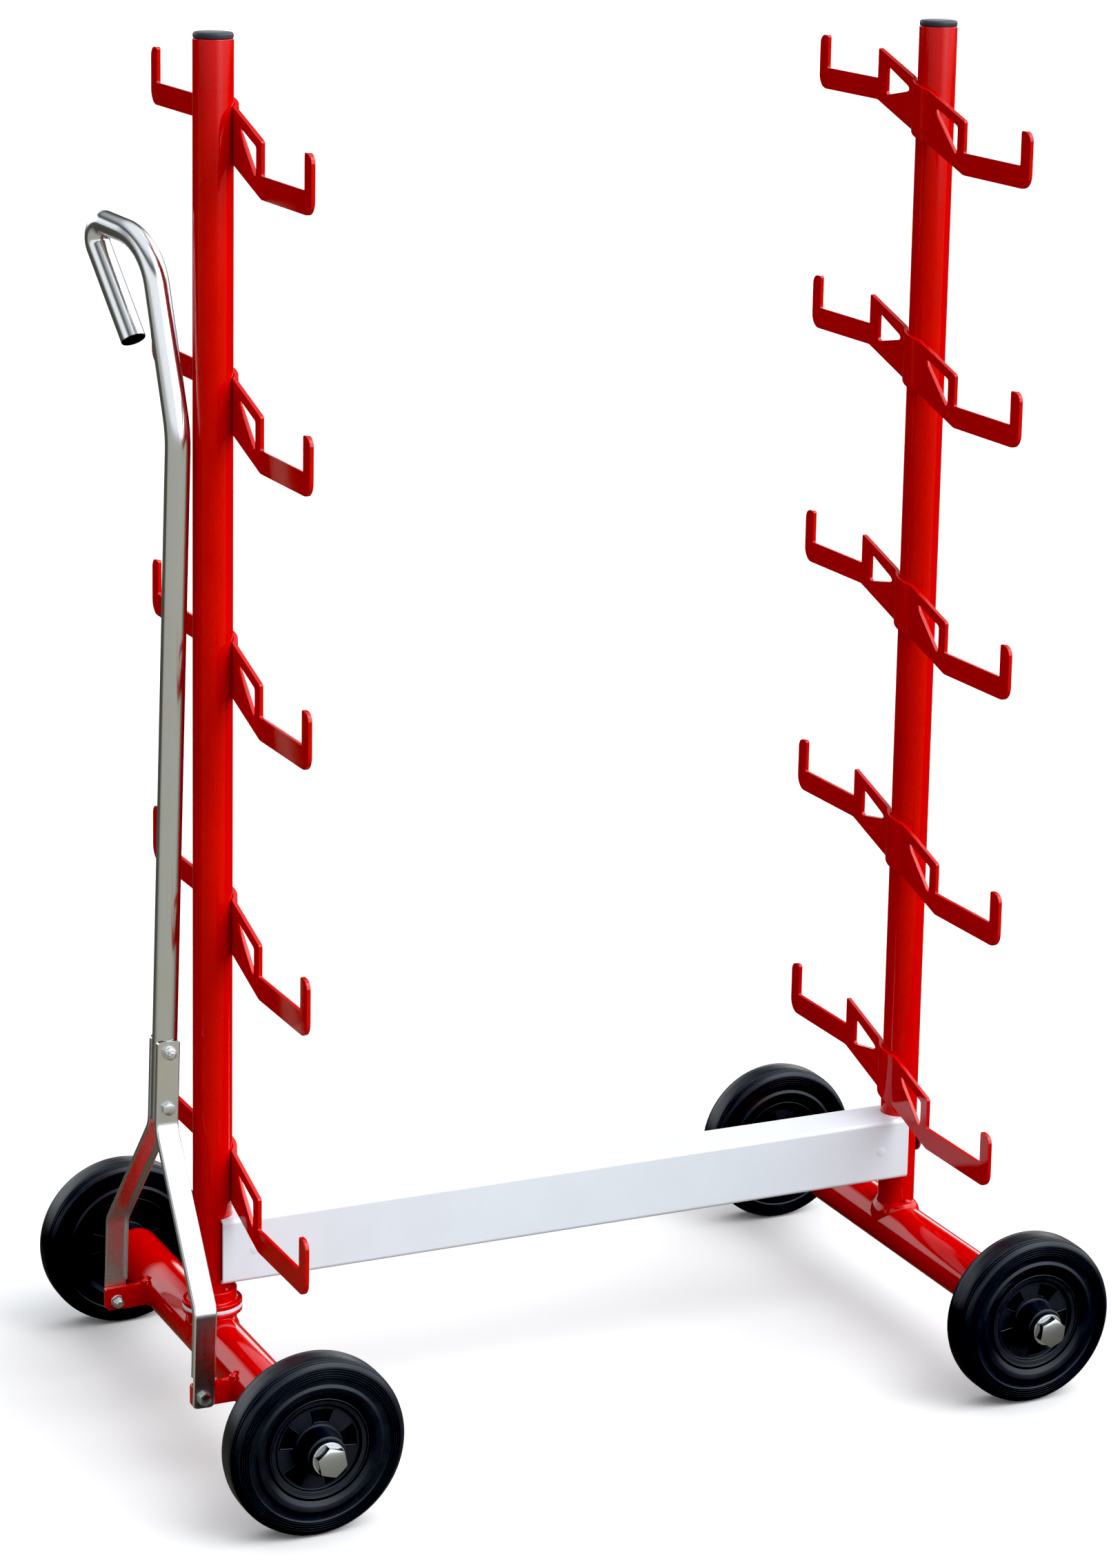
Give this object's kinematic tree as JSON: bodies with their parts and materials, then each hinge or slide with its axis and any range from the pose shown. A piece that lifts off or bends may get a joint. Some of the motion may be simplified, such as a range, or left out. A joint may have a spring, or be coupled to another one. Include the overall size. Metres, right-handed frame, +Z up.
{
  "type": "starting block cart",
  "caption": "Wheeled rack for starting blocks: posts with staggered hooked plates on a low cross beam, a steered front axle and a hinged pull handle with a hooked grip.",
  "frame": {"origin": "on the floor under the middle of the cart, midway between the posts", "axes": "+X along the cart from the steered axle to the fixed axle, +Y across it to the side with the high hooks, +Z up"},
  "size_m": [1.09, 0.7536, 1.5795],
  "materials": {
    "red_paint": "gloss red powder coat on steel",
    "white_paint": "satin white powder coat on steel",
    "cap_plastic": "dark grey moulded plastic",
    "zinc": "bright zinc plate",
    "steel": "machined steel",
    "nylon": "white nylon",
    "tyre_rubber": "solid black rubber",
    "black_plastic": "black moulded plastic"
  },
  "bodies": {
    "frame": {"left_post": "red_paint", "right_post": "red_paint", "left_post_cap": "cap_plastic", "right_post_cap": "cap_plastic", "left_cradle_1": "red_paint", "left_cradle_2": "red_paint", "left_cradle_3": "red_paint", "left_cradle_4": "red_paint", "left_cradle_5": "red_paint", "right_cradle_1": "red_paint", "right_cradle_2": "red_paint", "right_cradle_3": "red_paint", "right_cradle_4": "red_paint", "right_cradle_5": "red_paint", "cross_beam": "white_paint", "left_cross_pin": "white_paint", "right_cross_pin": "white_paint", "left_beam_bolt": "zinc", "right_beam_bolt": "zinc", "left_beam_washer": "zinc", "right_beam_washer": "zinc", "rear_axle": "red_paint", "swivel_collar": "red_paint", "swivel_bush_lower": "nylon", "swivel_bush_upper": "nylon", "rear_near_wheel_bolt": "zinc", "rear_far_wheel_bolt": "zinc", "rear_near_wheel_washer": "zinc", "rear_far_wheel_washer": "zinc"},
    "steered_axle": {"front_axle": "red_paint", "king_pin": "steel", "king_nut": "zinc", "thrust_washer": "nylon", "pivot_bolt_near": "zinc", "pivot_bolt_far": "zinc", "front_near_wheel_bolt": "zinc", "front_far_wheel_bolt": "zinc", "front_near_wheel_washer": "zinc", "front_far_wheel_washer": "zinc"},
    "drawbar": {"fork_arm_near": "zinc", "fork_arm_far": "zinc", "handle_tube": "zinc", "grip_plug": "black_plastic", "clamp_bolt_lower": "zinc", "clamp_bolt_upper": "zinc"},
    "wheel_front_near": {"front_near_tyre": "tyre_rubber", "front_near_rim": "black_plastic", "front_near_wheel_bush": "black_plastic"},
    "wheel_front_far": {"front_far_tyre": "tyre_rubber", "front_far_rim": "black_plastic", "front_far_wheel_bush": "black_plastic"},
    "wheel_rear_near": {"rear_near_tyre": "tyre_rubber", "rear_near_rim": "black_plastic", "rear_near_wheel_bush": "black_plastic"},
    "wheel_rear_far": {"rear_far_tyre": "tyre_rubber", "rear_far_rim": "black_plastic", "rear_far_wheel_bush": "black_plastic"}
  },
  "joints": [
    {"name": "steer", "type": "hinge", "parent": "frame", "child": "steered_axle", "pos_m": [-0.445, 0, 0.138], "axis": [0, 0, 1], "range_deg": [-25, 25]},
    {"name": "drawbar_tilt", "type": "hinge", "parent": "steered_axle", "child": "drawbar", "pos_m": [-0.51, 0, 0.0955], "axis": [0, -1, 0], "range_deg": [0, 92]},
    {"name": "wheel_spin_front_near", "type": "hinge", "parent": "steered_axle", "child": "wheel_front_near", "pos_m": [-0.445, -0.318, 0.1], "axis": [0, 1, 0], "continuous": true},
    {"name": "wheel_spin_front_far", "type": "hinge", "parent": "steered_axle", "child": "wheel_front_far", "pos_m": [-0.445, 0.318, 0.1], "axis": [0, 1, 0], "continuous": true},
    {"name": "wheel_spin_rear_near", "type": "hinge", "parent": "frame", "child": "wheel_rear_near", "pos_m": [0.445, -0.318, 0.1], "axis": [0, 1, 0], "continuous": true},
    {"name": "wheel_spin_rear_far", "type": "hinge", "parent": "frame", "child": "wheel_rear_far", "pos_m": [0.445, 0.318, 0.1], "axis": [0, 1, 0], "continuous": true}
  ]
}
